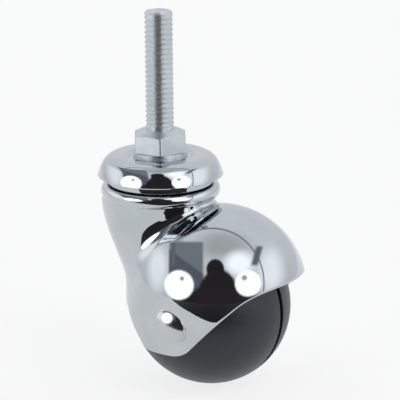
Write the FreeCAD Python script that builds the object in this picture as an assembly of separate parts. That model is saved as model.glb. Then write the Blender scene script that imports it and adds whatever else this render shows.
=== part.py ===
import FreeCAD, Part
import math
import os

# Ball castor with a threaded stem, in millimetres.
# The origin is on the stem's axis at its seating face. +Z runs up the stem, and +X is the way
# that the wheel trails. The axle runs along Y.

# Wheel
ball_diameter = 45.0
trail = 16.0
wheel_headroom = 4.96
wheel_wall = 2.6
groove_width = 1.8
groove_depth = 0.9
hub_wall = 2.2
rib_count = 6
rib_thickness = 1.6
peg_count = 3
peg_diameter = 3.0
peg_length = 4.0
peg_circle_diameter = 26.0
peg_boss_wall = 1.6

# Axle
axle_diameter = 6.0
sleeve_wall = 1.0
axle_head_diameter = 9.8
axle_head_edge = 0.2
axle_head_rise = 1.4
axle_boss_margin = 0.5
axle_boss_rise = 0.1
thrust_washer_thickness = 0.5
thrust_washer_width = 1.2

# Stem
stem_diameter = 7.94
stem_length = 33.7
stem_tip_chamfer = 0.5
hex_across_flats = 14.29
hex_height = 6.3
hex_face_diameter = 9.6
hex_chamfer_angle = 24.0
collar_diameter = 15.3
collar_height = 1.8
shank_diameter = 9.0
peened_head_diameter = 13.0
peened_head_height = 1.6

# Cup
cup_wall = 1.5
cup_recess_diameter = 17.2
cup_recess_depth = 0.9
cup_recess_ramp = 1.0
cup_shoulder_radius = 4.5
cup_shoulder_angle = 30.0
cup_face_radius = 12.5
cup_lip_angle = 11.0

# Swivel bearing
bearing_ball_diameter = 3.97
upper_ball_count = 18
upper_pitch_diameter = 25.0
lower_ball_count = 12
lower_pitch_diameter = 17.0
race_wall = 1.4
race_lip = 1.5
retaining_washer_diameter = 15.0
retaining_washer_thickness = 1.0

# Hood
hood_wall = 1.2
crown_diameter = 33.8
crown_bead_height = 4.6
crown_edge_radius = 0.7
bead_tuck = 0.8
dome_swell = 0.8
dome_forward = 2.5
dome_rise = 4.15
neck_diameter = 32.8
neck_set_back = 0.7
neck_slant_drop = 4.7
neck_slant_diameter = 30.7
neck_slant_back = 1.1
waist_diameter = 30.6
waist_forward = 2.4
waist_drop = 14.1
hip_diameter = 32.8
hip_behind = 8.6
hip_rise = 7.0
neck_foot_diameter = 36.6
neck_foot_behind = 4.0
valley_radius = 2.2
ear_drop = 9.4
ear_rear_reach = 9.9
ear_front_reach = 2.8
rear_slope = 52.0
rear_lift = 1.6
front_slope = 45.0
visor_lift = 10.8
rear_bend_radius = 3.0
ear_rear_radius = 4.0
ear_front_radius = 9.0
visor_bend_radius = 15.0

# Clearances
running_clearance = 0.05
shank_clearance = 0.6
cup_ball_clearance = 1.815
lip_clearance = 1.9
step_clearance = 1.4
race_clearance = 0.4
wheel_clearance = 0.6
washer_clearance = 0.1

# The cup reaches past the upper balls
cup_diameter = upper_pitch_diameter + bearing_ball_diameter + 2 * (cup_ball_clearance + cup_wall)

# Levels down the stem's axis
cup_floor_z = -hex_height - collar_height
cup_top_z = cup_floor_z + cup_recess_depth
cup_shoulder_drop = cup_shoulder_radius * (1 - math.sin(math.radians(cup_shoulder_angle)))
cup_face_rise = math.sin(math.radians(cup_shoulder_angle)) - math.sin(math.radians(cup_lip_angle))
cup_lip_z = cup_top_z - cup_shoulder_drop - cup_face_radius * cup_face_rise
upper_ball_z = cup_top_z - cup_wall - bearing_ball_diameter / 2 - running_clearance
crown_top_z = upper_ball_z - bearing_ball_diameter / 2 - running_clearance
lower_ball_z = crown_top_z - hood_wall - bearing_ball_diameter / 2 - running_clearance
race_top_z = lower_ball_z - bearing_ball_diameter / 2 - running_clearance
race_bottom_z = race_top_z - race_wall
washer_bottom_z = race_bottom_z - retaining_washer_thickness
stem_bottom_z = washer_bottom_z - peened_head_height
bead_top_z = cup_lip_z - lip_clearance
bead_bottom_z = bead_top_z - crown_bead_height
bead_middle_z = (bead_top_z + bead_bottom_z) / 2

# Places round the wheel
UP = FreeCAD.Vector(0, 0, 1)
ACROSS = FreeCAD.Vector(0, 1, 0)
ORIGIN = FreeCAD.Vector(0, 0, 0)
ball_radius = ball_diameter / 2
ball_centre = FreeCAD.Vector(trail, 0, stem_bottom_z - wheel_headroom - ball_radius)
hood_rear_radius = ball_radius + wheel_clearance + hood_wall
dome_reach = math.hypot(dome_forward, dome_rise)
dome_flare = math.asin(dome_swell / dome_reach)
sleeve_radius = axle_diameter / 2 + running_clearance + sleeve_wall
hub_bore_radius = sleeve_radius + running_clearance
hub_radius = hub_bore_radius + hub_wall
boss_radius = axle_head_diameter / 2 + axle_boss_margin
boss_outer_y = hood_rear_radius / math.cos(dome_flare) + axle_boss_rise
boss_inner_y = math.sqrt((ball_radius + wheel_clearance) ** 2 - boss_radius ** 2)
hub_face_y = boss_inner_y - thrust_washer_thickness - 2 * washer_clearance
stem_bore_radius = shank_diameter / 2 + running_clearance


def point(radius, z):
    """A point of a section that is turned about the stem's axis."""
    return FreeCAD.Vector(radius, 0, z)


def line(start, end):
    return Part.LineSegment(start, end).toShape()


def arc(start, middle, end):
    return Part.Arc(start, middle, end).toShape()


def on_circle(centre, radius, angle):
    """A point on a circle in the XZ plane, by its angle in degrees from +X towards +Z."""
    turn = math.radians(angle)
    return centre + FreeCAD.Vector(radius * math.cos(turn), 0, radius * math.sin(turn))


def turned(edges):
    """A solid turned about the Z axis from a closed run of edges."""
    return Part.Face(Part.Wire(edges)).revolve(ORIGIN, UP, 360)


def turned_corners(corners):
    """The same, from the corners of a straight-sided section."""
    points = [point(radius, z) for radius, z in corners]
    return turned([line(a, b) for a, b in zip(points, points[1:] + points[:1])])


def rod(radius, low_z, high_z):
    return Part.makeCylinder(radius, high_z - low_z, point(0, low_z), UP)


def axle_rod(radius, low_y, high_y):
    """A cylinder on the axle's line, between two distances from the wheel's middle plane."""
    return Part.makeCylinder(radius, high_y - low_y, ball_centre + ACROSS * low_y, ACROSS)


def axle_tube(outer_radius, inner_radius, low_y, high_y):
    return axle_rod(outer_radius, low_y, high_y).cut(axle_rod(inner_radius, low_y, high_y))


def make_hexagon():
    """The spanner hexagon, with its top chamfered down from a round seating face."""
    corner_radius = hex_across_flats / math.sqrt(3)
    corners = []
    for index in range(7):
        turn = math.radians(index * 60)
        x = corner_radius * math.cos(turn)
        y = corner_radius * math.sin(turn)
        corners.append(FreeCAD.Vector(x, y, -hex_height))
    prism = Part.Face(Part.makePolygon(corners)).extrude(UP * hex_height)
    face_radius = hex_face_diameter / 2
    chamfer_drop = (corner_radius - face_radius) * math.tan(math.radians(hex_chamfer_angle))
    return prism.common(turned_corners([
        (0, -hex_height),
        (corner_radius, -hex_height),
        (corner_radius, -chamfer_drop),
        (face_radius, 0),
        (0, 0),
    ]))


def make_stem():
    """Threaded end, hexagon, collar, shank and peened head in one piece."""
    stem_radius = stem_diameter / 2
    shank_radius = shank_diameter / 2
    threaded_end = turned_corners([
        (0, -hex_height),
        (stem_radius, -hex_height),
        (stem_radius, stem_length - stem_tip_chamfer),
        (stem_radius - stem_tip_chamfer, stem_length),
        (0, stem_length),
    ])
    lower_end = turned_corners([
        (0, -hex_height),
        (collar_diameter / 2, -hex_height),
        (collar_diameter / 2, cup_floor_z),
        (shank_radius, cup_floor_z),
        (shank_radius, washer_bottom_z),
        (peened_head_diameter / 2, washer_bottom_z),
        (shank_radius, stem_bottom_z),
        (0, stem_bottom_z),
    ])
    return threaded_end.multiFuse([make_hexagon(), lower_end]).removeSplitter()


def cup_form(inset):
    """The cup's outer form, filled, or its hollow when it is set in by the wall."""
    recess_radius = cup_recess_diameter / 2
    face_arc = cup_face_radius - inset
    shoulder_arc = cup_shoulder_radius - inset
    face_centre = on_circle(point(cup_diameter / 2, cup_lip_z), cup_face_radius, cup_lip_angle + 180)
    shoulder = on_circle(face_centre, cup_face_radius - cup_shoulder_radius, cup_shoulder_angle)
    lip_angle = math.degrees(math.asin((cup_lip_z - face_centre.z) / face_arc))
    axis_top = point(0, cup_floor_z - inset)
    recess_edge = point(recess_radius, cup_floor_z - inset)
    ridge = point(recess_radius + cup_recess_ramp, cup_top_z - inset)
    shoulder_top = on_circle(shoulder, shoulder_arc, 90)
    shoulder_foot = on_circle(shoulder, shoulder_arc, cup_shoulder_angle)
    lip = on_circle(face_centre, face_arc, lip_angle)
    axis_bottom = point(0, cup_lip_z)
    return turned([
        line(axis_top, recess_edge),
        line(recess_edge, ridge),
        line(ridge, shoulder_top),
        arc(shoulder_top, on_circle(shoulder, shoulder_arc, (90 + cup_shoulder_angle) / 2), shoulder_foot),
        arc(shoulder_foot, on_circle(face_centre, face_arc, (cup_shoulder_angle + lip_angle) / 2), lip),
        line(lip, axis_bottom),
        line(axis_bottom, axis_top),
    ])


def make_cup():
    """The chromed pressing over the bearing, widest at its lip."""
    shell = cup_form(0).cut(cup_form(cup_wall))
    return shell.cut(rod(stem_bore_radius, cup_lip_z, cup_top_z))


def make_ball_ring(count, pitch_diameter, z):
    """Bearing balls, evenly spaced round the stem's axis."""
    balls = []
    for index in range(count):
        turn = 2 * math.pi * index / count
        x = pitch_diameter / 2 * math.cos(turn)
        y = pitch_diameter / 2 * math.sin(turn)
        balls.append(Part.makeSphere(bearing_ball_diameter / 2, FreeCAD.Vector(x, y, z)))
    return balls


def make_lower_race():
    """A dish under the crown, with a low lip outside the balls."""
    inner_radius = (lower_pitch_diameter + bearing_ball_diameter) / 2 + race_clearance
    outer_radius = inner_radius + race_wall
    return turned_corners([
        (stem_bore_radius, race_bottom_z),
        (outer_radius, race_bottom_z),
        (outer_radius, race_top_z + race_lip),
        (inner_radius, race_top_z + race_lip),
        (inner_radius, race_top_z),
        (stem_bore_radius, race_top_z),
    ])


def make_retaining_washer():
    """The washer that the end of the shank is peened over."""
    return turned_corners([
        (stem_bore_radius, washer_bottom_z),
        (retaining_washer_diameter / 2, washer_bottom_z),
        (retaining_washer_diameter / 2, race_bottom_z),
        (stem_bore_radius, race_bottom_z),
    ])


def crown_form(inset):
    """The round top of the hood: a flat race, a step inside the cup's lip and a bead below it."""
    step_radius = cup_diameter / 2 - cup_wall - step_clearance - inset
    bead_radius = crown_diameter / 2 - inset
    edge = point(step_radius - crown_edge_radius, crown_top_z - inset - crown_edge_radius)
    axis_top = point(0, crown_top_z - inset)
    flat_end = on_circle(edge, crown_edge_radius, 90)
    step_top = on_circle(edge, crown_edge_radius, 0)
    step_foot = point(step_radius, bead_top_z - inset)
    bead_bottom = point(neck_diameter / 2 - neck_set_back - bead_tuck - inset, bead_bottom_z)
    axis_bottom = point(0, bead_bottom_z)
    return turned([
        line(axis_top, flat_end),
        arc(flat_end, on_circle(edge, crown_edge_radius, 45), step_top),
        line(step_top, step_foot),
        arc(step_foot, point(bead_radius, bead_middle_z), bead_bottom),
        line(bead_bottom, axis_bottom),
        line(axis_bottom, axis_top),
    ])


def dome_form(inset):
    """The smooth hull of two spheres: one round the wheel, one ahead of it and higher."""
    low_radius = hood_rear_radius - inset
    high_radius = low_radius + dome_swell
    high = point(0, dome_reach)
    side = -math.degrees(dome_flare)
    foot = on_circle(ORIGIN, low_radius, -90)
    low_touch = on_circle(ORIGIN, low_radius, side)
    high_touch = on_circle(high, high_radius, side)
    crest = on_circle(high, high_radius, 90)
    hull = turned([
        arc(foot, on_circle(ORIGIN, low_radius, (side - 90) / 2), low_touch),
        line(low_touch, high_touch),
        arc(high_touch, on_circle(high, high_radius, (side + 90) / 2), crest),
        line(crest, foot),
    ])
    hull.rotate(ORIGIN, ACROSS, math.degrees(math.atan2(dome_forward, dome_rise)))
    hull.translate(ball_centre)
    return hull


def neck_form(inset):
    """The neck, lofted through level circles from the cup's level into the back of the dome."""
    sections = [
        (-neck_set_back, cup_top_z, neck_diameter),
        (-neck_set_back, bead_middle_z, neck_diameter),
        (-neck_slant_back, bead_bottom_z - neck_slant_drop, neck_slant_diameter),
        (waist_forward, bead_bottom_z - waist_drop, waist_diameter),
        (trail - hip_behind, ball_centre.z + hip_rise, hip_diameter),
        (trail - neck_foot_behind, ball_centre.z, neck_foot_diameter),
    ]
    rings = []
    for x, z, diameter in sections:
        circle = Part.makeCircle(diameter / 2 - inset, FreeCAD.Vector(x, 0, z), UP)
        rings.append(Part.Wire(circle))
    return Part.makeLoft(rings, True, False)


def valley_edges(body):
    """The edges where the lofted neck meets the dome."""
    dome_kinds = {"Part::GeomSphere", "Part::GeomCone"}
    found = []
    for edge in body.Edges:
        if edge.Degenerated:
            continue
        kinds = {face.Surface.TypeId for face in body.ancestorsOfType(edge, Part.Face)}
        if "Part::GeomBSplineSurface" in kinds and kinds & dome_kinds:
            found.append(edge)
    return found


def hood_form(inset):
    """The whole hood, filled, or its hollow when it is set in by the wall."""
    body = dome_form(inset).fuse(neck_form(inset))
    body = body.makeFillet(valley_radius + inset, valley_edges(body))
    above_neck = rod(crown_diameter, bead_middle_z - inset, cup_top_z)
    return body.cut(above_neck).fuse(crown_form(inset))


def rounded_run(corners, radii):
    """Edges of a run of straight lines, with an arc of its own radius at each inner corner."""
    edges = []
    start = corners[0]
    for before, corner, after, radius in zip(corners, corners[1:], corners[2:], radii):
        back = (before - corner).normalize()
        ahead = (after - corner).normalize()
        half_angle = back.getAngle(ahead) / 2
        setback = radius / math.tan(half_angle)
        middle = (back + ahead).normalize() * (radius / math.sin(half_angle) - radius)
        edges.append(line(start, corner + back * setback))
        edges.append(arc(corner + back * setback, corner + middle, corner + ahead * setback))
        start = corner + ahead * setback
    edges.append(line(start, corners[-1]))
    return edges


def below_rim():
    """The space under the rim: level behind, down round the ears and up to the front visor."""
    reach = 2 * (ball_diameter + trail)
    rear_run = (rear_lift + ear_drop) / math.tan(math.radians(rear_slope))
    front_run = (visor_lift + ear_drop) / math.tan(math.radians(front_slope))
    rim = [ball_centre + point(x, z) for x, z in [
        (-reach, rear_lift),
        (-ear_rear_reach - rear_run, rear_lift),
        (-ear_rear_reach, -ear_drop),
        (ear_front_reach, -ear_drop),
        (ear_front_reach + front_run, visor_lift),
        (reach, visor_lift),
    ]]
    radii = [rear_bend_radius, ear_rear_radius, ear_front_radius, visor_bend_radius]
    rear_foot = rim[0] - UP * reach
    front_foot = rim[-1] - UP * reach
    outline = rounded_run(rim, radii)
    outline.append(line(rim[-1], front_foot))
    outline.append(line(front_foot, rear_foot))
    outline.append(line(rear_foot, rim[0]))
    space = Part.Face(Part.Wire(outline)).extrude(ACROSS * 2 * reach)
    space.translate(ACROSS * -reach)
    return space


def make_hood():
    """The chromed pressing: crown, neck, dome, visor and two ears with flat seats for the axle."""
    shell = hood_form(0).cut(hood_form(hood_wall)).cut(below_rim())
    near_boss = axle_rod(boss_radius, -boss_outer_y, -boss_inner_y)
    far_boss = axle_rod(boss_radius, boss_inner_y, boss_outer_y)
    shell = shell.multiFuse([near_boss, far_boss])
    spot_end = boss_outer_y + 2 * hood_wall
    shell = shell.cut(axle_rod(boss_radius, -spot_end, -boss_outer_y))
    shell = shell.cut(axle_rod(boss_radius, boss_outer_y, spot_end))
    shell = shell.cut(axle_rod(axle_diameter / 2 + running_clearance, -spot_end, spot_end))
    return shell.cut(rod(shank_diameter / 2 + shank_clearance, race_bottom_z, cup_floor_z))


def make_axle_head(side):
    """A low domed rivet head, seated on the ear at one side of the hood."""
    radius = axle_head_diameter / 2
    seat = point(0, 0)
    edge_foot = point(radius, 0)
    edge_top = point(radius, axle_head_edge)
    crest = point(0, axle_head_edge + axle_head_rise)
    dome_arc_radius = (radius ** 2 + axle_head_rise ** 2) / (2 * axle_head_rise)
    dome_centre = point(0, crest.z - dome_arc_radius)
    half_angle = math.degrees(math.asin(radius / dome_arc_radius)) / 2
    head = turned([
        line(seat, edge_foot),
        line(edge_foot, edge_top),
        arc(edge_top, on_circle(dome_centre, dome_arc_radius, 90 - half_angle), crest),
        line(crest, seat),
    ])
    head.rotate(ORIGIN, FreeCAD.Vector(1, 0, 0), -90 * side)
    head.translate(ball_centre + ACROSS * side * boss_outer_y)
    return head


def make_axle():
    """The rivet through both ears, with its two heads."""
    shaft = axle_rod(axle_diameter / 2, -boss_outer_y, boss_outer_y)
    return shaft.multiFuse([make_axle_head(-1), make_axle_head(1)]).removeSplitter()


def make_sleeve():
    """The steel tube between the ears that the wheel turns on."""
    return axle_tube(sleeve_radius, axle_diameter / 2 + running_clearance, -boss_inner_y, boss_inner_y)


def make_thrust_washer(side):
    """A washer between the wheel's hub and one ear."""
    inner_y = hub_face_y + washer_clearance
    low_y = min(side * inner_y, side * (inner_y + thrust_washer_thickness))
    outer_radius = hub_bore_radius + thrust_washer_width
    return axle_tube(outer_radius, hub_bore_radius, low_y, low_y + thrust_washer_thickness)


def peg_rod(index, radius, low_y, high_y):
    """A cylinder on one of the places where the wheel's halves are pegged, between two ribs."""
    turn = 360 * index / peg_count + 180 / rib_count
    place = on_circle(ball_centre, peg_circle_diameter / 2, turn) + ACROSS * low_y
    return Part.makeCylinder(radius, high_y - low_y, place, ACROSS)


def make_ribs(low_y, high_y):
    """Ribs from the hub to the wheel's shell."""
    ribs = []
    for index in range(rib_count):
        rib = Part.makeBox(ball_radius, high_y - low_y, rib_thickness)
        rib.translate(ball_centre + FreeCAD.Vector(0, low_y, -rib_thickness / 2))
        rib.rotate(ball_centre, ACROSS, 360 * index / rib_count)
        ribs.append(rib)
    return ribs


def make_wheel_half(side):
    """One moulded half of the wheel: shell, hub, ribs and pegs, or sockets for the pegs."""
    low_y = min(0, side * hub_face_y)
    high_y = max(0, side * hub_face_y)
    half = axle_rod(ball_diameter, low_y, high_y)
    inner = Part.makeSphere(ball_radius - wheel_wall, ball_centre).common(half)
    peg_radius = peg_diameter / 2
    kept = make_ribs(low_y, high_y)
    kept.append(axle_rod(hub_radius, low_y, high_y))
    for index in range(peg_count):
        kept.append(peg_rod(index, peg_radius + peg_boss_wall, low_y, high_y))
    inner = inner.cut(kept)
    body = Part.makeSphere(ball_radius, ball_centre).common(half).cut(inner)
    body = body.cut(axle_rod(hub_bore_radius, low_y, high_y))
    groove = axle_tube(ball_diameter, ball_radius - groove_depth, -groove_width / 2, groove_width / 2)
    body = body.cut(groove)
    if side < 0:
        pegs = [peg_rod(index, peg_radius, -peg_length, peg_length) for index in range(peg_count)]
        return body.multiFuse(pegs).removeSplitter()
    depth = peg_length + running_clearance
    sockets = [peg_rod(index, peg_radius + running_clearance, 0, depth) for index in range(peg_count)]
    return body.cut(sockets)


def make_parts():
    """Every piece of the castor, by name."""
    parts = {
        "threaded_stem": make_stem(),
        "top_cup": make_cup(),
        "lower_race": make_lower_race(),
        "retaining_washer": make_retaining_washer(),
        "hood": make_hood(),
        "axle_rivet": make_axle(),
        "axle_sleeve": make_sleeve(),
        "near_thrust_washer": make_thrust_washer(-1),
        "far_thrust_washer": make_thrust_washer(1),
        "near_wheel_half": make_wheel_half(-1),
        "far_wheel_half": make_wheel_half(1),
    }
    upper_balls = make_ball_ring(upper_ball_count, upper_pitch_diameter, upper_ball_z)
    for index, ball in enumerate(upper_balls):
        parts["upper_ball_%02d" % (index + 1)] = ball
    lower_balls = make_ball_ring(lower_ball_count, lower_pitch_diameter, lower_ball_z)
    for index, ball in enumerate(lower_balls):
        parts["lower_ball_%02d" % (index + 1)] = ball
    return parts


os.makedirs("parts", exist_ok=True)
for name, shape in make_parts().items():
    shape.exportStep("parts/%s.step" % name)
    if "ball_" not in name or name.endswith("_01"):
        print(name, shape.isValid(), len(shape.Solids), round(shape.Volume, 1))
print("seat height above the floor", round(ball_radius - ball_centre.z, 2))
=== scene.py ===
import bpy
import math
import numpy as np
from mathutils import Matrix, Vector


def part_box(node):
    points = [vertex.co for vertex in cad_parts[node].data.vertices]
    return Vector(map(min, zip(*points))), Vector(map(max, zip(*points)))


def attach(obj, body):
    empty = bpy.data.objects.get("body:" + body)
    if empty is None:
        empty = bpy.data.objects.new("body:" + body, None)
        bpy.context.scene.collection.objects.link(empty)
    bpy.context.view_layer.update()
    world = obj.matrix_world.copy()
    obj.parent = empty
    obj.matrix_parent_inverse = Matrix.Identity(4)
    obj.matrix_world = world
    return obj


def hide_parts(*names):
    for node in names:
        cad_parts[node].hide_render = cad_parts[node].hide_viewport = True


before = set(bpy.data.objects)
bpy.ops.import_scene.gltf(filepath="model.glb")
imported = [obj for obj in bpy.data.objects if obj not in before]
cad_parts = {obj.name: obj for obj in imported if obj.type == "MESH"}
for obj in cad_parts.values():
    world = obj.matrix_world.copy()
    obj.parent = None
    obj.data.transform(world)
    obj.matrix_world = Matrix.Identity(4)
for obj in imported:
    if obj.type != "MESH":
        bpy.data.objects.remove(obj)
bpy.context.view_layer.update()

# Ball castor with a threaded stem. Shapes are worked out in millimetres, in the frame's own axes:
# the stem runs up +Z from its seating face, the wheel trails towards +X, the axle runs along Y.
MM = 0.001

# Sides of what is turned
large_sides = 192
small_sides = 96


def box_mm(node):
    """The lowest and highest corners of a solid, in millimetres."""
    low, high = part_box(node)
    return np.array(low) / MM, np.array(high) / MM


stem_low, stem_high = box_mm("threaded_stem")
cup_low, cup_high = box_mm("top_cup")
wheel_low, wheel_high = box_mm("near_wheel_half")
upper_ball_bottom_z = box_mm("upper_ball_01")[0][2]
washer_bottom_z = box_mm("retaining_washer")[0][2]
rivet_end_y = box_mm("axle_rivet")[1][1]
sleeve_end_y = box_mm("axle_sleeve")[1][1]

# Sizes of the stem
inch = 25.4
thread_turns_per_inch = 18
thread_pitch = inch / thread_turns_per_inch
thread_depth = 0.40
thread_crest = 0.24
thread_root = 0.12
thread_rows_per_pitch = 14
thread_foot_fade = (0.3, 1.6)
thread_tip_fade = (0.4, 2.0)
stem_radius = 3.97
stem_tip_chamfer = 0.5
hex_sides = 6
hex_side_angle = 360 // hex_sides
hex_half_angle = hex_side_angle / 2
hex_corner_radius = stem_high[0]
hex_half_flats = hex_corner_radius * math.cos(math.radians(hex_half_angle))
hex_height = 6.3
hex_face_radius = 4.8
hex_chamfer_angle = 24
hex_chamfer = math.tan(math.radians(hex_chamfer_angle))
hex_corner_blunting = 0.9
hex_edge_round = 0.18
collar_radius = 7.65
collar_round = 0.35
shank_radius = 4.5
peened_head_radius = 6.5
end_dot_radius = 0.02
tip_ring_share = 0.6
hex_turn_step = 3
hex_top_rings = 4
hex_edge_middle = (0.35, 0.25)
collar_round_steps = 4
stem_sharp_angle = 30

# Sizes of the cup
cup_radius = cup_high[0]
cup_wall = 1.5
cup_bore = 4.55
cup_top_z = cup_high[2]
cup_lip_z = cup_low[2]
cup_recess_depth = 0.9
cup_floor_z = cup_top_z - cup_recess_depth
cup_recess_radius = 8.6
cup_recess_ramp = 1.0
cup_ridge_round = 0.5
cup_shoulder_radius = 4.5
cup_shoulder_angle = 30
cup_face_radius = 12.5
cup_lip_angle = 11
cup_lip_round = 0.3
cup_lip_lean = 0.02
cup_lip_middle = 0.3
cup_floor_steps = 4
cup_ridge_steps = 5
cup_top_steps = 6
cup_shoulder_steps = 14
cup_face_steps = 12
cup_sharp_angle = 40

# Sizes of the hood
hood_wall = 1.2
ball_radius = (wheel_high[0] - wheel_low[0]) / 2
ball_centre = np.array([(wheel_low[0] + wheel_high[0]) / 2, 0, (wheel_low[2] + wheel_high[2]) / 2])
wheel_clearance = 0.6
running_clearance = 0.05
dome_swell = 0.8
dome_forward = 2.5
dome_rise = 4.15
dome_low_radius = ball_radius + wheel_clearance + hood_wall
dome_high_radius = dome_low_radius + dome_swell
dome_high_centre = ball_centre + np.array([dome_forward, 0, dome_rise])
crown_top_z = upper_ball_bottom_z - running_clearance
crown_edge_round = 0.7
crown_hole_clearance = 0.6
crown_hole_radius = shank_radius + crown_hole_clearance
step_clearance = 1.4
step_radius = cup_radius - cup_wall - step_clearance
lip_clearance = 1.9
bead_radius = 16.9
bead_height = 4.6
bead_tuck = 0.8
bead_top_z = cup_lip_z - lip_clearance
bead_bottom_z = bead_top_z - bead_height
valley_radius = 2.2
neck_tuck = 0.6
neck_tuck_lead = 1.0
neck_radius = 16.4
neck_set_back = 0.7
neck_top_z = (bead_top_z + bead_bottom_z) / 2
neck_slant_back = 1.1
neck_slant_drop = 4.7
neck_slant_radius = 15.35
waist_forward = 2.4
waist_drop = 14.1
waist_radius = 15.3
hip_behind = 8.6
hip_rise = 7.0
hip_radius = 16.4
neck_foot_behind = 4.0
neck_foot_radius = 18.3

# The neck's round sections, by the X and Z of their middle and their radius
neck_sections = [
    (-neck_set_back, cup_top_z, neck_radius),
    (-neck_set_back, neck_top_z, neck_radius),
    (-neck_slant_back, bead_bottom_z - neck_slant_drop, neck_slant_radius),
    (waist_forward, bead_bottom_z - waist_drop, waist_radius),
    (ball_centre[0] - hip_behind, ball_centre[2] + hip_rise, hip_radius),
    (ball_centre[0] - neck_foot_behind, ball_centre[2], neck_foot_radius),
]

# The rim, seen from the side with the ball's middle as its origin, and the radii of its inner corners
rim_reach = 60.0
ear_drop = 9.4
ear_rear_reach = 9.9
ear_front_reach = 2.8
rear_lift = 1.6
rear_slope = 52
rear_run = (rear_lift + ear_drop) / math.tan(math.radians(rear_slope))
visor_lift = 10.8
front_slope = 45
front_run = (visor_lift + ear_drop) / math.tan(math.radians(front_slope))
rim_corners = [
    (-rim_reach, rear_lift),
    (-ear_rear_reach - rear_run, rear_lift),
    (-ear_rear_reach, -ear_drop),
    (ear_front_reach, -ear_drop),
    (ear_front_reach + front_run, visor_lift),
    (rim_reach, visor_lift),
]
rim_radii = [3.0, 4.0, 9.0, 15.0]
rim_step = 0.1
rim_corner_steps = 40
rim_roll_steps = 8

# The search for the hood's skin from a heart inside it, by distances and by degrees from the neck's line
hood_heart = np.array([8.0, 0, -42.0])
hood_reach = (6.0, 60.0)
crown_search = (8, 75)
rim_search = (40, 170)
distance_halvings = 44
angle_halvings = 40
least_reach = 0.001

# How finely the hood is drawn
hood_columns = 288
hood_rows = 181
hood_inside_stride = 4
hood_overlap = 0.4
crown_flat_steps = 6
crown_edge_steps = 6
bead_steps = 16
hood_sharp_angle = 50

# Sizes of the rivet and of the seats under its heads
rivet_head_radius = 4.9
rivet_head_edge = 0.2
rivet_head_rise = 1.4
rivet_shaft_radius = 3.0
rivet_edge_round = 0.15
rivet_foot_round = 0.06
boss_radius = 5.4
boss_outer_y = rivet_end_y - rivet_head_edge - rivet_head_rise
boss_inner_y = sleeve_end_y
boss_edge_round = 0.25
boss_edge_steps = 4
rivet_pole_angle = 89.5
rivet_edge_middle = (0.3, 0.15)
rivet_head_steps = 16
rivet_sharp_angle = 40

# Surroundings, with half the floor's size in metres, and the cloth's corners in millimetres to the
# right of the wheel and towards the camera
floor_z = wheel_low[2]
floor_half_size = 4.0
floor_colour = (0.86, 0.865, 0.87, 1)
floor_glow = 0.8
floor_roughness = 0.9
cloth_lift = 0.5
cloth_colour = (0.022, 0.018, 0.019)
cloth_roughness = 0.9
cloth_shine = 0.1
cloth_corners = [(-8000, 3760), (-80, 124), (-11, 81), (100, 80), (250, 150), (5000, 6200), (-8000, 6200)]

# Camera, with its sensor in millimetres, its distance and target in metres, and its lens and the
# target's place in pixels
sensor_width = 36
view_azimuth = math.radians(28.92)
view_elevation = math.radians(15.275)
view_roll = math.radians(-0.551)
view_distance = 0.8
view_focal_pixels = 2833
image_pixels = 400
view_target = np.array([0.008, 0, -0.022])
target_pixel = np.array([185.593, 206.92])

# Finishes, as two colours that blend in clouds, a range of roughness, and noises with their scale over
# a metre, their detail and their roughness. A relief has its strength and its depth in metres.
cloud_levels = (0.3, 0.7)
grain_levels = (0.3, 0.7)
chrome_colours = ((0.475, 0.51, 0.535), (0.52, 0.555, 0.58))
chrome_roughness = (0.02, 0.06)
chrome_cloud_noise = (90, 4, 0.5)
chrome_cloud_levels = (0.35, 0.65)
chrome_grain_noise = (700, 3, 0.6)
chrome_ripple_noise = (260, 1, 0.5)
chrome_relief = (0.02, 0.0002)
nickel_colours = ((0.475, 0.50, 0.52), (0.52, 0.545, 0.565))
nickel_roughness = (0.12, 0.18)
zinc_colours = ((0.56, 0.60, 0.63), (0.64, 0.68, 0.71))
zinc_roughness = (0.41, 0.49)
zinc_cloud_noise = (160, 5, 0.6)
zinc_grain_noise = (1400, 3, 0.7)
zinc_relief = (0.03, 0.00005)
zinc_streak = 0.9
zinc_streak_turn = 0.25
steel_colours = ((0.52, 0.52, 0.53), (0.60, 0.60, 0.61))
steel_roughness = (0.08, 0.16)
steel_cloud_noise = (220, 4, 0.5)
steel_grain_noise = (1200, 3, 0.6)
steel_relief = (0.06, 0.00005)
plastic_colours = ((0.010, 0.014, 0.024), (0.014, 0.019, 0.030))
plastic_roughness = (0.36, 0.46)
plastic_cloud_noise = (60, 4, 0.5)
plastic_grain_noise = (2600, 2, 0.6)
plastic_relief = (0.15, 0.00006)

# Studio features, by the place and size of their image in a mirror ball that faces the camera.
# Each starts with its place across and up. A lamp and its hub then have a radius. An oval, a block
# and a hoop have a half width, a half height and an edge, and a haze has its level in place of an edge.
lamps = [(-0.447, 0.077, 0.158), (0.320, 0.097, 0.140)]
lamp_edge = 0.14
lamp_colour = (2.6, 2.6, 2.6)
lamp_hubs = [(-0.415, 0.150, 0.028), (0.281, 0.160, 0.034)]
hub_edge = 0.5
hazes = [
    (0.04, 0.53, 0.27, 0.14, 0.64),
    (0.225, 0.32, 0.15, 0.12, 1.9),
    (-0.69, 0.25, 0.10, 0.24, 1.4),
    (0.57, 0.22, 0.14, 0.24, 1.45),
]
haze_edge = 0.6
bracket_block = (0.425, 0.40, 0.038, 0.105, 0.022)
bracket_lean = 0.30
screen_block = (-0.37, 0.29, 0.19, 0.27, 0.02)
screen_edge_block = (-0.514, 0.42, 0.018, 0.13, 0.012)
shade_slant = 0.7
shade_edge = (0.10, 0.06)
seam_hoop = (-0.075, 0.10, 0.575, 0.61, 0.024)
seam_start = (-0.47, -0.42)
head_oval = (-0.043, 0.255, 0.10, 0.115, 0.12)
shoulders_oval = (-0.01, -0.05, 0.225, 0.31, 0.08)
skirt_oval = (0.0, -0.22, 0.50, 0.30, 0.08)
tent_rise = 0.8
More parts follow.
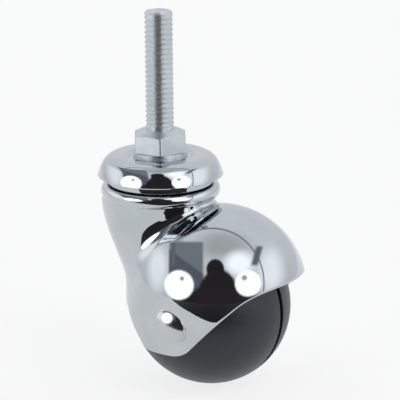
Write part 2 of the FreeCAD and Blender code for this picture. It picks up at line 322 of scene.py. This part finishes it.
tent_low = (0.80, 0.82, 0.86)
tent_high = (0.96, 0.97, 0.99)
seam_colour = (0.22, 0.22, 0.24)
hub_colour = (0.62, 0.64, 0.66)
screen_colour = (0.27, 0.31, 0.33)
screen_shade = (0.16, 0.165, 0.21)
dark_colour = (0.035, 0.028, 0.030)


# Mesh building

def arc_points(centre, radius, start, end, steps):
    """Points on a circle in a section, by angles in degrees from the first axis to the second."""
    turns = np.radians(np.linspace(start, end, steps + 1))
    return [(centre[0] + radius * math.cos(t), centre[1] + radius * math.sin(t)) for t in turns]


def line_points(start, end, steps):
    """Points from one corner of a section towards another, without the last one."""
    shares = np.arange(steps) / steps
    return [tuple(np.array(start) * (1 - s) + np.array(end) * s) for s in shares]


def circle_through(first, second, third):
    """Centre and radius of the circle through three points of a section."""
    a, b, c = (np.array(p, float) for p in (first, second, third))
    rows = np.array([b - a, c - a]) * 2
    sums = np.array([b @ b - a @ a, c @ c - a @ a])
    centre = np.linalg.solve(rows, sums)
    return centre, float(np.linalg.norm(centre - a))


def arc_through(first, second, third, steps):
    """Points on the arc from the first point through the second to the third."""
    centre, radius = circle_through(first, second, third)
    angles = [math.degrees(math.atan2(p[1] - centre[1], p[0] - centre[0])) for p in (first, third)]
    return arc_points(centre, radius, angles[0], angles[1], steps)


def rounded_corner(before, corner, after, radius, steps):
    """An arc in place of a corner of a section."""
    corner = np.array(corner, float)
    back = np.array(before, float) - corner
    ahead = np.array(after, float) - corner
    back /= np.linalg.norm(back)
    ahead /= np.linalg.norm(ahead)
    half_angle = math.acos(np.clip(back @ ahead, -1, 1)) / 2
    setback = radius / math.tan(half_angle)
    middle = (back + ahead) / np.linalg.norm(back + ahead)
    middle = corner + middle * (radius / math.sin(half_angle) - radius)
    return arc_through(corner + back * setback, middle, corner + ahead * setback, steps)


def grid_faces(rows, columns, first=0, close_rows=False):
    """Quads between rows of points that each go once round, starting at a vertex number."""
    faces = []
    for row in range(rows if close_rows else rows - 1):
        below = first + row * columns
        above = first + ((row + 1) % rows) * columns
        for column in range(columns):
            after = (column + 1) % columns
            faces.append((below + column, below + after, above + after, above + column))
    return faces


def lathe(profile, segments, first=0, closed=True):
    """Points and quads of a section turned about the Z axis."""
    turns = 2 * math.pi * np.arange(segments) / segments
    rings = []
    for radius, height in profile:
        level = np.full(segments, height)
        rings.append(np.stack([radius * np.cos(turns), radius * np.sin(turns), level], 1))
    return np.concatenate(rings), grid_faces(len(profile), segments, first, closed)


def along_axle(points):
    """Turns points made about the Z axis onto the axle's line."""
    return np.stack([points[:, 0] + ball_centre[0], points[:, 2], -points[:, 1] + ball_centre[2]], 1)


def make_piece(name, points, faces, sharp_angle, body, node, material):
    """A mesh piece that stands for a solid, with smooth faces apart from its sharp edges."""
    mesh = bpy.data.meshes.new(name)
    mesh.from_pydata((np.asarray(points) * MM).tolist(), [], faces)
    mesh.update()
    mesh.validate()
    mesh.polygons.foreach_set("use_smooth", [True] * len(mesh.polygons))
    mesh.set_sharp_from_angle(angle=math.radians(sharp_angle))
    mesh.materials.append(material)
    piece = bpy.data.objects.new(name, mesh)
    bpy.context.scene.collection.objects.link(piece)
    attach(piece, body)
    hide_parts(node)


# Stem

def smooth_step(low, high, value):
    """A smooth rise from 0 to 1 between two values."""
    share = np.clip((value - low) / (high - low), 0, 1)
    return share * share * (3 - 2 * share)


def thread_depth_at(z, turns):
    """How far a right-hand thread is cut below its crest, at a height and a turn round the stem."""
    phase = np.mod(z / thread_pitch - turns / (2 * math.pi), 1)
    from_root = np.abs(phase - 0.5)
    return thread_depth * (1 - smooth_step(thread_root / 2, (1 - thread_crest) / 2, from_root))


def stem_turns():
    """Angles round the stem, with the hexagon's corners and a blunt edge beside each."""
    offsets = [0, hex_corner_blunting, *range(hex_turn_step, hex_side_angle, hex_turn_step)]
    offsets.append(hex_side_angle - hex_corner_blunting)
    return np.radians([hex_side_angle * side + offset for side in range(hex_sides) for offset in offsets])


def hex_radius(turns):
    """Distance from the stem's axis to the hexagon's side, with blunted corners."""
    from_flat = np.abs(np.mod(np.degrees(turns), hex_side_angle) - hex_half_angle)
    from_flat = np.minimum(from_flat, hex_half_angle - hex_corner_blunting)
    return hex_half_flats / np.cos(np.radians(from_flat))


def make_stem(material):
    """The stem from its threaded tip down to its peened end, as rows of points."""
    turns = stem_turns()
    count = len(turns)
    rows = []

    def add_row(radius, z):
        radius = np.broadcast_to(radius, count)
        z = np.broadcast_to(z, count)
        rows.append(np.stack([radius * np.cos(turns), radius * np.sin(turns), z], 1))

    top_z = stem_high[2]
    tip_radius = stem_radius - stem_tip_chamfer
    add_row(end_dot_radius, top_z)
    add_row(tip_radius * tip_ring_share, top_z)
    for z in np.arange(top_z, 0, -thread_pitch / thread_rows_per_pitch):
        faded = smooth_step(*thread_foot_fade, z) * smooth_step(*thread_tip_fade, top_z - z)
        cut = stem_radius - thread_depth_at(z, turns) * faded
        chamfer = tip_radius + (top_z - z)
        add_row(np.minimum(cut, chamfer), z)
    add_row(stem_radius, 0)
    add_row(hex_face_radius, 0)
    outer = hex_radius(turns)
    edge_z = -(outer - hex_face_radius) * hex_chamfer
    for share in np.linspace(0, 1, hex_top_rings + 2)[1:-1]:
        radius = hex_face_radius + (outer - hex_edge_round - hex_face_radius) * share
        add_row(radius, -(radius - hex_face_radius) * hex_chamfer)
    add_row(outer - hex_edge_round, edge_z + hex_edge_round * hex_chamfer)
    inward, down = hex_edge_middle
    add_row(outer - hex_edge_round * inward, edge_z - hex_edge_round * down)
    add_row(outer, edge_z - hex_edge_round)
    add_row(outer, -hex_height + hex_edge_round)
    add_row(outer - hex_edge_round, -hex_height)
    collar_edge = (collar_radius - collar_round, -hex_height - collar_round)
    for radius, z in arc_points(collar_edge, collar_round, 90, 0, collar_round_steps):
        add_row(radius, z)
    add_row(collar_radius, cup_floor_z)
    add_row(shank_radius, cup_floor_z)
    add_row(shank_radius, washer_bottom_z)
    add_row(peened_head_radius, washer_bottom_z)
    add_row(shank_radius, stem_low[2])
    add_row(end_dot_radius, stem_low[2])
    points = np.concatenate(rows)
    faces = grid_faces(len(rows), count)
    faces.append(tuple(range(count)))
    last = (len(rows) - 1) * count
    faces.append(tuple(last + column for column in reversed(range(count))))
    faces = [tuple(reversed(face)) for face in faces]
    make_piece(
        "stem_threaded", points, faces, stem_sharp_angle,
        "stem_body", "threaded_stem", material,
    )


# Cup

def cup_profile(inset):
    """The cup's section from its bore to its lip, outside or set in by the wall."""
    face_arc = cup_face_radius - inset
    shoulder_arc = cup_shoulder_radius - inset
    face = arc_points((cup_radius, cup_lip_z), cup_face_radius, cup_lip_angle + 180, 0, 1)[0]
    shoulder = arc_points(face, cup_face_radius - cup_shoulder_radius, cup_shoulder_angle, 0, 1)[0]
    lip_angle = math.degrees(math.asin((cup_lip_z - face[1]) / face_arc))
    recess_z = cup_floor_z - inset
    bore_edge = (cup_bore, recess_z)
    recess_edge = (cup_recess_radius, recess_z)
    ridge = (cup_recess_radius + cup_recess_ramp, cup_top_z - inset)
    shoulder_top = (shoulder[0], shoulder[1] + shoulder_arc)
    section = line_points(bore_edge, recess_edge, cup_floor_steps)
    section += rounded_corner(bore_edge, recess_edge, ridge, cup_ridge_round, cup_ridge_steps)
    section += rounded_corner(recess_edge, ridge, shoulder_top, cup_ridge_round, cup_ridge_steps)
    section += line_points(ridge, shoulder_top, cup_top_steps)[2:]
    section += arc_points(shoulder, shoulder_arc, 90, cup_shoulder_angle, cup_shoulder_steps)
    section += arc_points(face, face_arc, cup_shoulder_angle, lip_angle, cup_face_steps)[1:]
    return section


def make_cup(material):
    """The cup, turned from its section outside, round its lip and back inside."""
    outside = cup_profile(0)
    inside = cup_profile(cup_wall)
    lip_out = np.array(outside[-1])
    lip_in = np.array(inside[-1])
    middle = cup_lip_middle * cup_lip_round
    lip = [
        tuple(lip_out + (-cup_lip_lean * cup_lip_round, cup_lip_round)),
        tuple(lip_out + (-middle, middle)),
        tuple(lip_out + (-cup_lip_round, 0)),
        tuple(lip_in + (cup_lip_round, 0)),
    ]
    profile = outside[:-1] + lip + inside[::-1]
    points, faces = lathe(profile, large_sides)
    make_piece("cup_pressing", points, faces, cup_sharp_angle, "stem_body", "top_cup", material)


# Hood

def round_cone(p, a, b, radius_a, radius_b):
    """Distance to the smooth hull of two spheres."""
    axis = b - a
    length_squared = axis @ axis
    shrink = radius_a - radius_b
    slant_squared = length_squared - shrink * shrink
    along = (p - a) @ axis
    beyond = along - length_squared
    across = (p - a) * length_squared - along[:, None] * axis
    across_squared = np.einsum("ij,ij->i", across, across)
    along_scaled = along * along * length_squared
    beyond_scaled = beyond * beyond * length_squared
    turn = np.sign(shrink) * shrink * shrink * across_squared
    past_b = np.sign(beyond) * slant_squared * beyond_scaled > turn
    before_a = np.sign(along) * slant_squared * along_scaled < turn
    slanted = np.sqrt(across_squared * slant_squared / length_squared)
    middle = (slanted + along * shrink) / length_squared - radius_a
    at_b = np.sqrt(across_squared + beyond_scaled) / length_squared - radius_b
    at_a = np.sqrt(across_squared + along_scaled) / length_squared - radius_a
    return np.where(past_b, at_b, np.where(before_a, at_a, middle))


class Spline:
    """A smooth curve of values by height, through a few given ones."""

    def __init__(self, heights, values):
        order = np.argsort(heights)
        self.x = np.array(heights, float)[order]
        self.y = np.array(values, float)[order]
        gaps = np.diff(self.x)
        slopes = np.diff(self.y) / gaps
        count = len(self.x)
        matrix = np.eye(count)
        sums = np.zeros(count)
        for i in range(1, count - 1):
            matrix[i, i - 1] = gaps[i - 1]
            matrix[i, i] = 2 * (gaps[i - 1] + gaps[i])
            matrix[i, i + 1] = gaps[i]
            sums[i] = 6 * (slopes[i] - slopes[i - 1])
        self.bend = np.linalg.solve(matrix, sums)

    def __call__(self, height):
        i = np.clip(np.searchsorted(self.x, height) - 1, 0, len(self.x) - 2)
        gap = self.x[i + 1] - self.x[i]
        low = (self.x[i + 1] - height) / gap
        high = (height - self.x[i]) / gap
        curved = (low ** 3 - low) * self.bend[i] + (high ** 3 - high) * self.bend[i + 1]
        return low * self.y[i] + high * self.y[i + 1] + curved * gap * gap / 6

    def slope(self, height, step=0.01):
        return (self(height + step) - self(height - step)) / (2 * step)


neck_middle = Spline([z for x, z, r in neck_sections], [x for x, z, r in neck_sections])
neck_half = Spline([z for x, z, r in neck_sections], [r for x, z, r in neck_sections])


def neck_distance(p):
    """Distance to the leaning neck, tucked forward under the crown's bead at its top."""
    z = p[:, 2]
    tuck = neck_tuck * smooth_step(bead_bottom_z - neck_tuck_lead, neck_top_z - neck_tuck, z)
    x = p[:, 0] - neck_middle(z) - tuck
    reach = np.hypot(x, p[:, 1])
    lean = neck_middle.slope(z) * x / np.maximum(reach, least_reach) + neck_half.slope(z)
    return (reach - neck_half(z)) / np.sqrt(1 + lean * lean)


def hood_distance(p):
    """Distance to the dome and neck, with a rounded valley between them."""
    dome = round_cone(p, ball_centre, dome_high_centre, dome_low_radius, dome_high_radius)
    neck = neck_distance(p)
    dome_near = np.maximum(valley_radius - dome, 0)
    neck_near = np.maximum(valley_radius - neck, 0)
    return np.maximum(np.minimum(dome, neck), valley_radius) - np.hypot(dome_near, neck_near)


def gradient(field, p, step=0.02):
    """Unit direction in which a field of distances grows."""
    parts = []
    for axis in range(3):
        offset = np.zeros(3)
        offset[axis] = step
        parts.append(field(p + offset) - field(p - offset))
    result = np.stack(parts, 1)
    return result / np.linalg.norm(result, axis=1)[:, None]


def rim_line():
    """Points of the rim, seen from the side: up behind, down round the ears, up to the visor."""
    corners = [np.array(c) + ball_centre[[0, 2]] for c in rim_corners]
    points = [corners[0]]
    for before, corner, after, radius in zip(corners, corners[1:], corners[2:], rim_radii):
        points += rounded_corner(before, corner, after, radius, rim_corner_steps)
    points.append(corners[-1])
    return np.array(points)


rim_points = rim_line()


def above_rim(p):
    """Distance above the rim, measured across it."""
    rim_z = np.interp(p[:, 0], rim_points[:, 0], rim_points[:, 1])
    ahead_z = np.interp(p[:, 0] + rim_step, rim_points[:, 0], rim_points[:, 1])
    behind_z = np.interp(p[:, 0] - rim_step, rim_points[:, 0], rim_points[:, 1])
    slope = (ahead_z - behind_z) / (2 * rim_step)
    return (p[:, 2] - rim_z) / np.sqrt(1 + slope * slope)


def hood_directions(polar, turns):
    """Directions out of the hood's heart, by the angle from the neck's line and the turn about it."""
    line = np.array([-neck_set_back, 0, neck_top_z]) - hood_heart
    line = line / np.linalg.norm(line)
    side = np.array([0.0, 1, 0])
    front = np.cross(side, line)
    across = np.cos(turns)[:, None] * front + np.sin(turns)[:, None] * side
    return np.cos(polar)[:, None] * line + np.sin(polar)[:, None] * across


def hood_surface(polar, turns):
    """Points where directions out of the hood's heart meet its outer skin."""
    directions = hood_directions(polar, turns)
    low = np.full(len(polar), hood_reach[0])
    high = np.full(len(polar), hood_reach[1])
    for _ in range(distance_halvings):
        middle = (low + high) / 2
        inside = hood_distance(hood_heart + directions * middle[:, None]) < 0
        low = np.where(inside, middle, low)
        high = np.where(inside, high, middle)
    return hood_heart + directions * ((low + high) / 2)[:, None]


def polar_where(test, turns, low, high):
    """The angle from the neck's line at which the skin stops passing a test."""
    low = np.full(len(turns), math.radians(low))
    high = np.full(len(turns), math.radians(high))
    for _ in range(angle_halvings):
        middle = (low + high) / 2
        passed = test(hood_surface(middle, turns))
        low = np.where(passed, middle, low)
        high = np.where(passed, high, middle)
    return (low + high) / 2


def hood_skin():
    """The pressing's skin: outside, round its rolled rim and back up inside."""
    turns = 2 * math.pi * np.arange(hood_columns) / hood_columns
    half_wall = hood_wall / 2
    start = polar_where(lambda p: p[:, 2] > neck_top_z - hood_overlap, turns, *crown_search)
    end = polar_where(lambda p: above_rim(p) > half_wall, turns, *rim_search)
    outside = []
    for share in np.linspace(0, 1, hood_rows):
        outside.append(hood_surface(start + (end - start) * share, turns))
    normals = [gradient(hood_distance, row) for row in outside]
    edge = outside[-1]
    outward = normals[-1]
    down = -gradient(above_rim, edge)
    down -= np.einsum("ij,ij->i", down, outward)[:, None] * outward
    down /= np.linalg.norm(down, axis=1)[:, None]
    rolled = []
    for angle in np.radians(np.linspace(0, 180, rim_roll_steps + 1)[1:-1]):
        around = outward * (math.cos(angle) - 1) + down * math.sin(angle)
        rolled.append(edge + around * half_wall)
    inside = [row - normal * hood_wall for row, normal in zip(outside, normals)]
    rows = outside + rolled + inside[::-hood_inside_stride]
    return np.concatenate(rows), len(rows)


def crown_profile(inset):
    """The crown's section from its hole, over the step and round the bead."""
    top_z = crown_top_z - inset
    edge = (step_radius - inset - crown_edge_round, top_z - crown_edge_round)
    foot = (step_radius - inset, bead_top_z - inset)
    widest = (bead_radius - inset, neck_top_z)
    bottom = (neck_radius - neck_set_back - bead_tuck - inset, bead_bottom_z)
    section = line_points((crown_hole_radius, top_z), (edge[0], top_z), crown_flat_steps)
    section += arc_points(edge, crown_edge_round, 90, 0, crown_edge_steps)
    section += arc_through(foot, widest, bottom, bead_steps)
    return section


def boss_section():
    """The flat seat under a rivet head, as a ring about the axle."""
    hole = rivet_shaft_radius + running_clearance
    rounding = (boss_radius - boss_edge_round, boss_outer_y - boss_edge_round)
    section = [(hole, boss_inner_y), (hole, boss_outer_y)]
    section += arc_points(rounding, boss_edge_round, 90, 0, boss_edge_steps)
    section += [(boss_radius, boss_inner_y)]
    return section


def make_hood(material):
    """The hood's pressed skin, its crown and the two seats of the rivet heads."""
    points, row_count = hood_skin()
    faces = grid_faces(row_count, hood_columns, close_rows=True)
    crown = crown_profile(0) + crown_profile(hood_wall)[::-1]
    crown_points, crown_faces = lathe(crown, large_sides, len(points))
    points = np.concatenate([points, crown_points])
    faces = faces + [tuple(reversed(face)) for face in crown_faces]
    for side in (-1, 1):
        boss_points, boss_faces = lathe(boss_section(), small_sides, len(points))
        boss_points = boss_points * np.array([1, 1, side])
        if side > 0:
            boss_faces = [tuple(reversed(face)) for face in boss_faces]
        points = np.concatenate([points, along_axle(boss_points)])
        faces = faces + boss_faces
    make_piece("hood_pressing", points, faces, hood_sharp_angle, "hood_body", "hood", material)


# Rivet

def make_rivet(material):
    """The axle rivet with a low domed head at each end."""
    arc_radius = (rivet_head_radius ** 2 + rivet_head_rise ** 2) / (2 * rivet_head_rise)
    edge_y = boss_outer_y + rivet_head_edge
    centre_y = edge_y + rivet_head_rise - arc_radius
    edge_angle = math.degrees(math.asin((rivet_head_radius - rivet_edge_round) / arc_radius))
    head = arc_points((0, centre_y), arc_radius, rivet_pole_angle, 90 - edge_angle, rivet_head_steps)
    inward, down = rivet_edge_middle
    head += [
        (rivet_head_radius - rivet_edge_round * inward, edge_y - rivet_edge_round * down),
        (rivet_head_radius, edge_y - rivet_edge_round),
        (rivet_head_radius, boss_outer_y + rivet_foot_round),
        (rivet_head_radius - rivet_foot_round, boss_outer_y),
        (rivet_shaft_radius, boss_outer_y),
    ]
    profile = head + [(radius, -height) for radius, height in reversed(head)]
    points, faces = lathe(profile, small_sides, closed=False)
    last = (len(profile) - 1) * small_sides
    faces = [tuple(reversed(face)) for face in faces]
    faces.append(tuple(range(small_sides)))
    faces.append(tuple(last + column for column in reversed(range(small_sides))))
    make_piece(
        "rivet_headed", along_axle(points), faces, rivet_sharp_angle,
        "hood_body", "axle_rivet", material,
    )


# Materials

def new_material(name):
    """A material with its node tree and its main shader."""
    material = bpy.data.materials.new(name)
    material.use_nodes = True
    tree = material.node_tree
    return material, tree, tree.nodes["Principled BSDF"]


def noise(tree, scale, detail, roughness):
    """Noise over the object's own metres."""
    place = tree.nodes.new("ShaderNodeTexCoord")
    node = tree.nodes.new("ShaderNodeTexNoise")
    node.inputs["Scale"].default_value = scale
    node.inputs["Detail"].default_value = detail
    node.inputs["Roughness"].default_value = roughness
    tree.links.new(place.outputs["Object"], node.inputs["Vector"])
    return node.outputs["Fac"]


def ramp(tree, factor, low, high, low_colour, high_colour):
    """Two colours blended between two levels of a factor."""
    node = tree.nodes.new("ShaderNodeValToRGB")
    node.color_ramp.elements[0].position = low
    node.color_ramp.elements[0].color = (*low_colour, 1)
    node.color_ramp.elements[1].position = high
    node.color_ramp.elements[1].color = (*high_colour, 1)
    tree.links.new(factor, node.inputs["Fac"])
    return node.outputs["Color"]


def map_range(tree, value, from_low, from_high, to_low, to_high, smooth=False):
    """A value carried from one range to another."""
    node = tree.nodes.new("ShaderNodeMapRange")
    node.interpolation_type = "SMOOTHSTEP" if smooth else "LINEAR"
    names = ("From Min", "From Max", "To Min", "To Max")
    for name, number in zip(names, (from_low, from_high, to_low, to_high)):
        node.inputs[name].default_value = number
    tree.links.new(value, node.inputs["Value"])
    return node.outputs["Result"]


def math_node(tree, operation, first, second=None):
    """A calculation with sockets or plain numbers."""
    node = tree.nodes.new("ShaderNodeMath")
    node.operation = operation
    for index, value in enumerate((first, second)):
        if value is None:
            continue
        if isinstance(value, (int, float)):
            node.inputs[index].default_value = value
        else:
            tree.links.new(value, node.inputs[index])
    return node.outputs["Value"]


def bump(tree, height, strength, distance, shader):
    """Relief on a shader's surface."""
    node = tree.nodes.new("ShaderNodeBump")
    node.inputs["Strength"].default_value = strength
    node.inputs["Distance"].default_value = distance
    tree.links.new(height, node.inputs["Height"])
    tree.links.new(node.outputs["Normal"], shader.inputs["Normal"])


def finish(name, metal, cloud_noise, levels, colours, grain_noise, roughness):
    """A material with faint clouds in its colour and a fine grain in its polish."""
    material, tree, shader = new_material(name)
    shader.inputs["Metallic"].default_value = metal
    clouds = ramp(tree, noise(tree, *cloud_noise), *levels, *colours)
    tree.links.new(clouds, shader.inputs["Base Color"])
    grain = noise(tree, *grain_noise)
    polish = map_range(tree, grain, *grain_levels, *roughness)
    tree.links.new(polish, shader.inputs["Roughness"])
    return material, tree, shader, grain


def chrome_material(name, colours, roughness):
    """Bright plating: a clear mirror with faint cloudiness and a trace of ripple."""
    material, tree, shader = finish(
        name, 1, chrome_cloud_noise, chrome_cloud_levels, colours, chrome_grain_noise, roughness
    )[:3]
    bump(tree, noise(tree, *chrome_ripple_noise), *chrome_relief, shader)
    return material


def zinc_material():
    """Plated steel, with fine turning marks round the stem that draw its reflections out along it."""
    material, tree, shader, grain = finish(
        "zinc_steel", 1, zinc_cloud_noise, cloud_levels, zinc_colours, zinc_grain_noise, zinc_roughness
    )
    around = tree.nodes.new("ShaderNodeTangent")
    around.direction_type = "RADIAL"
    around.axis = "Z"
    tree.links.new(around.outputs["Tangent"], shader.inputs["Tangent"])
    shader.inputs["Anisotropic"].default_value = zinc_streak
    shader.inputs["Anisotropic Rotation"].default_value = zinc_streak_turn
    bump(tree, grain, *zinc_relief, shader)
    return material


def steel_material():
    """Plain bright steel for the bearing's balls."""
    material, tree, shader, grain = finish(
        "ball_steel", 1, steel_cloud_noise, cloud_levels, steel_colours, steel_grain_noise, steel_roughness
    )
    bump(tree, grain, *steel_relief, shader)
    return material


def plastic_material():
    """Slate-black moulded plastic with a satin grain."""
    material, tree, shader, grain = finish(
        "wheel_plastic", 0, plastic_cloud_noise, cloud_levels, plastic_colours, plastic_grain_noise,
        plastic_roughness,
    )
    bump(tree, grain, *plastic_relief, shader)
    return material


chrome = chrome_material("chrome", chrome_colours, chrome_roughness)
nickel = chrome_material("nickel_steel", nickel_colours, nickel_roughness)
zinc = zinc_material()
bearing_steel = steel_material()
plastic = plastic_material()

make_stem(zinc)
make_cup(chrome)
make_hood(chrome)
make_rivet(nickel)

finishes = {
    "near_wheel_half": plastic,
    "far_wheel_half": plastic,
    "lower_race": zinc,
    "retaining_washer": zinc,
    "axle_sleeve": zinc,
    "near_thrust_washer": zinc,
    "far_thrust_washer": zinc,
}
for name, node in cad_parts.items():
    node.data.materials.clear()
    node.data.materials.append(finishes.get(name, bearing_steel))


# Camera

def camera_axes():
    """Right, up and back of the camera."""
    back = np.array([
        math.sin(view_azimuth) * math.cos(view_elevation),
        -math.cos(view_azimuth) * math.cos(view_elevation),
        math.sin(view_elevation),
    ])
    right = np.array([math.cos(view_azimuth), math.sin(view_azimuth), 0])
    up = np.cross(back, right)
    cosine, sine = math.cos(view_roll), math.sin(view_roll)
    return cosine * right + sine * up, cosine * up - sine * right, back


view_right, view_up, view_back = camera_axes()


def make_camera():
    """A camera that puts its target at its place in the image."""
    data = bpy.data.cameras.new("camera")
    data.sensor_width = sensor_width
    data.lens = sensor_width * view_focal_pixels / image_pixels
    off_centre = (image_pixels / 2 - target_pixel) * view_distance / view_focal_pixels
    place = view_target + view_right * off_centre[0] - view_up * off_centre[1] + view_back * view_distance
    camera = bpy.data.objects.new("camera", data)
    axes = np.eye(4)
    axes[:3, 0] = view_right
    axes[:3, 1] = view_up
    axes[:3, 2] = view_back
    axes[:3, 3] = place
    bpy.context.scene.collection.objects.link(camera)
    camera.matrix_world = Matrix(axes.tolist())
    bpy.context.scene.camera = camera


make_camera()


# Studio

def vector_math(tree, operation, first, second=None):
    """A calculation with a vector's socket and, where it needs one, a fixed vector."""
    node = tree.nodes.new("ShaderNodeVectorMath")
    node.operation = operation
    tree.links.new(first, node.inputs[0])
    if second is not None:
        node.inputs[1].default_value = tuple(second)
    return node.outputs["Value"] if operation in ("DOT_PRODUCT", "DISTANCE") else node.outputs["Vector"]


def mix_colour(tree, factor, below, above):
    """A colour laid over another by a factor."""
    node = tree.nodes.new("ShaderNodeMix")
    node.data_type = "RGBA"
    tree.links.new(factor, node.inputs["Factor"])
    tree.links.new(below, node.inputs["A"])
    node.inputs["B"].default_value = (*above, 1)
    return node.outputs["Result"]


def oval_reach(tree, spot, x, y, half_width, half_height):
    """How far a spot of the studio is from an oval's middle, as a share of the oval's size."""
    squash = (1 / half_width, 1 / half_height, 0)
    scaled = vector_math(tree, "MULTIPLY", spot, squash)
    return vector_math(tree, "DISTANCE", scaled, (x * squash[0], y * squash[1], 0))


def oval(tree, spot, x, y, half_width, half_height, soft):
    """One inside an oval of the studio, with a soft edge given as a share of its size."""
    away = oval_reach(tree, spot, x, y, half_width, half_height)
    return map_range(tree, away, 1 - soft, 1 + soft, 1, 0, smooth=True)


def block(tree, across, upward, x, y, half_width, half_height, soft, lean=0.0):
    """One inside a rectangle of the studio that may lean over, with a soft edge."""
    above = math_node(tree, "SUBTRACT", upward, y)
    aside = math_node(tree, "SUBTRACT", across, x)
    leaned = math_node(tree, "SUBTRACT", aside, math_node(tree, "MULTIPLY", above, lean))
    sides = math_node(tree, "ABSOLUTE", leaned)
    ends = math_node(tree, "ABSOLUTE", above)
    inside = map_range(tree, sides, half_width - soft, half_width + soft, 1, 0, smooth=True)
    between = map_range(tree, ends, half_height - soft, half_height + soft, 1, 0, smooth=True)
    return math_node(tree, "MULTIPLY", inside, between)


def hoop(tree, spot, x, y, half_width, half_height, thickness):
    """One along the thin edge of an oval, with its thickness given as a share of its size."""
    away = oval_reach(tree, spot, x, y, half_width, half_height)
    from_edge = math_node(tree, "ABSOLUTE", math_node(tree, "SUBTRACT", away, 1.0))
    return map_range(tree, from_edge, 0, thickness, 1, 0, smooth=True)


def make_world():
    """A pale light tent with two round lamps, a grey screen and a dark figure between them."""
    world = bpy.data.worlds.new("studio")
    bpy.context.scene.world = world
    world.use_nodes = True
    tree = world.node_tree
    direction = tree.nodes.new("ShaderNodeTexCoord").outputs["Generated"]
    halfway = vector_math(tree, "NORMALIZE", vector_math(tree, "ADD", direction, view_back))
    joined = tree.nodes.new("ShaderNodeCombineXYZ")
    across = vector_math(tree, "DOT_PRODUCT", halfway, view_right)
    upward = vector_math(tree, "DOT_PRODUCT", halfway, view_up)
    tree.links.new(across, joined.inputs["X"])
    tree.links.new(upward, joined.inputs["Y"])
    spot = joined.outputs["Vector"]
    height = vector_math(tree, "DOT_PRODUCT", direction, (0, 0, 1))
    colour = ramp(tree, height, 0, tent_rise, tent_low, tent_high)
    for x, y, half_width, half_height, level in hazes:
        glow = oval(tree, spot, x, y, half_width, half_height, haze_edge)
        colour = mix_colour(tree, glow, colour, (level, level, level))
    bracket = block(tree, across, upward, *bracket_block, bracket_lean)
    colour = mix_colour(tree, bracket, colour, seam_colour)
    screen = block(tree, across, upward, *screen_block)
    colour = mix_colour(tree, screen, colour, screen_colour)
    slant = math_node(tree, "ADD", upward, math_node(tree, "MULTIPLY", across, shade_slant))
    shade = map_range(tree, slant, *shade_edge, 0, 1, smooth=True)
    colour = mix_colour(tree, math_node(tree, "MULTIPLY", screen, shade), colour, screen_shade)
    edge = block(tree, across, upward, *screen_edge_block)
    colour = mix_colour(tree, edge, colour, seam_colour)
    begun = map_range(tree, across, *seam_start, 0, 1, smooth=True)
    seam = math_node(tree, "MULTIPLY", hoop(tree, spot, *seam_hoop), begun)
    colour = mix_colour(tree, seam, colour, seam_colour)
    for place in (head_oval, shoulders_oval, skirt_oval):
        colour = mix_colour(tree, oval(tree, spot, *place), colour, dark_colour)
    for x, y, radius in lamps:
        colour = mix_colour(tree, oval(tree, spot, x, y, radius, radius, lamp_edge), colour, lamp_colour)
    for x, y, radius in lamp_hubs:
        colour = mix_colour(tree, oval(tree, spot, x, y, radius, radius, hub_edge), colour, hub_colour)
    tree.links.new(colour, tree.nodes["Background"].inputs["Color"])


def make_dark_cloth():
    """A dark cloth on the floor between the castor and the camera, seen only in reflections."""
    mesh = bpy.data.meshes.new("dark_cloth")
    to_right = np.array([math.cos(view_azimuth), math.sin(view_azimuth)])
    to_camera = np.array([math.sin(view_azimuth), -math.cos(view_azimuth)])
    corners = []
    for right, toward in cloth_corners:
        x, y = ball_centre[:2] + to_right * right + to_camera * toward
        corners.append((x * MM, y * MM, (floor_z + cloth_lift) * MM))
    mesh.from_pydata(corners, [], [tuple(range(len(corners)))])
    cloth = bpy.data.objects.new("dark_cloth", mesh)
    bpy.context.scene.collection.objects.link(cloth)
    cloth.visible_camera = False
    cloth.visible_diffuse = False
    cloth.visible_shadow = False
    material, tree, shader = new_material("dark_cloth")
    shader.inputs["Base Color"].default_value = (*cloth_colour, 1)
    shader.inputs["Roughness"].default_value = cloth_roughness
    shader.inputs["Specular IOR Level"].default_value = cloth_shine
    mesh.materials.append(material)


def make_floor():
    """A plain pale floor that stays near white and keeps the shadow."""
    size = floor_half_size
    mesh = bpy.data.meshes.new("floor")
    corners = [(-size, -size, 0), (size, -size, 0), (size, size, 0), (-size, size, 0)]
    mesh.from_pydata(corners, [], [(0, 1, 2, 3)])
    floor = bpy.data.objects.new("floor", mesh)
    floor.location = (0, 0, floor_z * MM)
    bpy.context.scene.collection.objects.link(floor)
    material, tree, shader = new_material("pale_floor")
    shader.inputs["Base Color"].default_value = floor_colour
    shader.inputs["Roughness"].default_value = floor_roughness
    glow = tree.nodes.new("ShaderNodeEmission")
    glow.inputs["Color"].default_value = (1, 1, 1, 1)
    path = tree.nodes.new("ShaderNodeLightPath")
    seen = math_node(tree, "MAXIMUM", path.outputs["Is Camera Ray"], path.outputs["Is Glossy Ray"])
    seen = math_node(tree, "MAXIMUM", seen, path.outputs["Is Transmission Ray"])
    choice = tree.nodes.new("ShaderNodeMixShader")
    tree.links.new(math_node(tree, "MULTIPLY", seen, floor_glow), choice.inputs["Fac"])
    tree.links.new(shader.outputs["BSDF"], choice.inputs[1])
    tree.links.new(glow.outputs["Emission"], choice.inputs[2])
    tree.links.new(choice.outputs["Shader"], tree.nodes["Material Output"].inputs["Surface"])
    mesh.materials.append(material)


make_world()
make_floor()
make_dark_cloth()
bpy.context.scene.view_settings.view_transform = "Standard"
